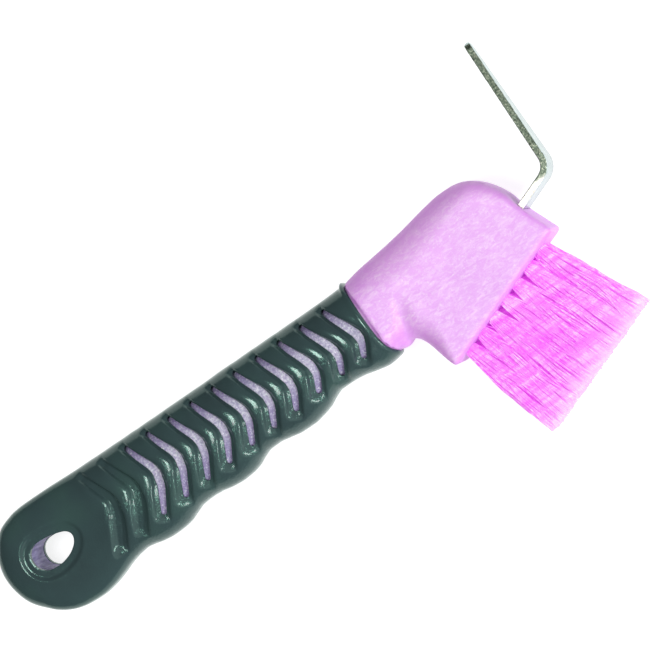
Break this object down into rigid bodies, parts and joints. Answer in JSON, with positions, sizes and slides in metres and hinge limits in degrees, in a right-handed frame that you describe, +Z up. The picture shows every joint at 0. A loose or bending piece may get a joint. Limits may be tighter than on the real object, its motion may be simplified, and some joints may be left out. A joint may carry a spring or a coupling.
{
  "type": "hoof pick with brush",
  "caption": "Hoof pick with a bent steel pick and a stiff bristle brush on a moulded plastic head, and a soft ribbed grip over its handle.",
  "frame": {"origin": "centre of the bounding box at the surface that the part lies on", "axes": "+X along the handle towards the head, +Y across it towards the pick's tip, +Z up through the thickness"},
  "size_m": [0.1776, 0.0898, 0.018],
  "materials": {
    "core_plastic": "satin moulded polypropylene",
    "grip_rubber": "glossy soft overmould",
    "pick_steel": "plated strip with a sheared edge",
    "bristle_nylon": "translucent filament",
    "anchor_steel": "bright wire"
  },
  "bodies": {
    "root": {"handle_core": "core_plastic", "grip_overmould": "grip_rubber", "pick_blade": "pick_steel", "tuft_1_a": "bristle_nylon", "tuft_1_b": "bristle_nylon", "tuft_1_c": "bristle_nylon", "tuft_2_a": "bristle_nylon", "tuft_2_b": "bristle_nylon", "tuft_2_c": "bristle_nylon", "tuft_3_a": "bristle_nylon", "tuft_3_b": "bristle_nylon", "tuft_3_c": "bristle_nylon", "tuft_4_a": "bristle_nylon", "tuft_4_b": "bristle_nylon", "tuft_4_c": "bristle_nylon", "tuft_5_a": "bristle_nylon", "tuft_5_b": "bristle_nylon", "tuft_5_c": "bristle_nylon", "tuft_6_a": "bristle_nylon", "tuft_6_b": "bristle_nylon", "tuft_6_c": "bristle_nylon", "tuft_7_a": "bristle_nylon", "tuft_7_b": "bristle_nylon", "tuft_7_c": "bristle_nylon", "tuft_anchor_1_a": "anchor_steel", "tuft_anchor_1_b": "anchor_steel", "tuft_anchor_1_c": "anchor_steel", "tuft_anchor_2_a": "anchor_steel", "tuft_anchor_2_b": "anchor_steel", "tuft_anchor_2_c": "anchor_steel", "tuft_anchor_3_a": "anchor_steel", "tuft_anchor_3_b": "anchor_steel", "tuft_anchor_3_c": "anchor_steel", "tuft_anchor_4_a": "anchor_steel", "tuft_anchor_4_b": "anchor_steel", "tuft_anchor_4_c": "anchor_steel", "tuft_anchor_5_a": "anchor_steel", "tuft_anchor_5_b": "anchor_steel", "tuft_anchor_5_c": "anchor_steel", "tuft_anchor_6_a": "anchor_steel", "tuft_anchor_6_b": "anchor_steel", "tuft_anchor_6_c": "anchor_steel", "tuft_anchor_7_a": "anchor_steel", "tuft_anchor_7_b": "anchor_steel", "tuft_anchor_7_c": "anchor_steel"}
  },
  "joints": []
}
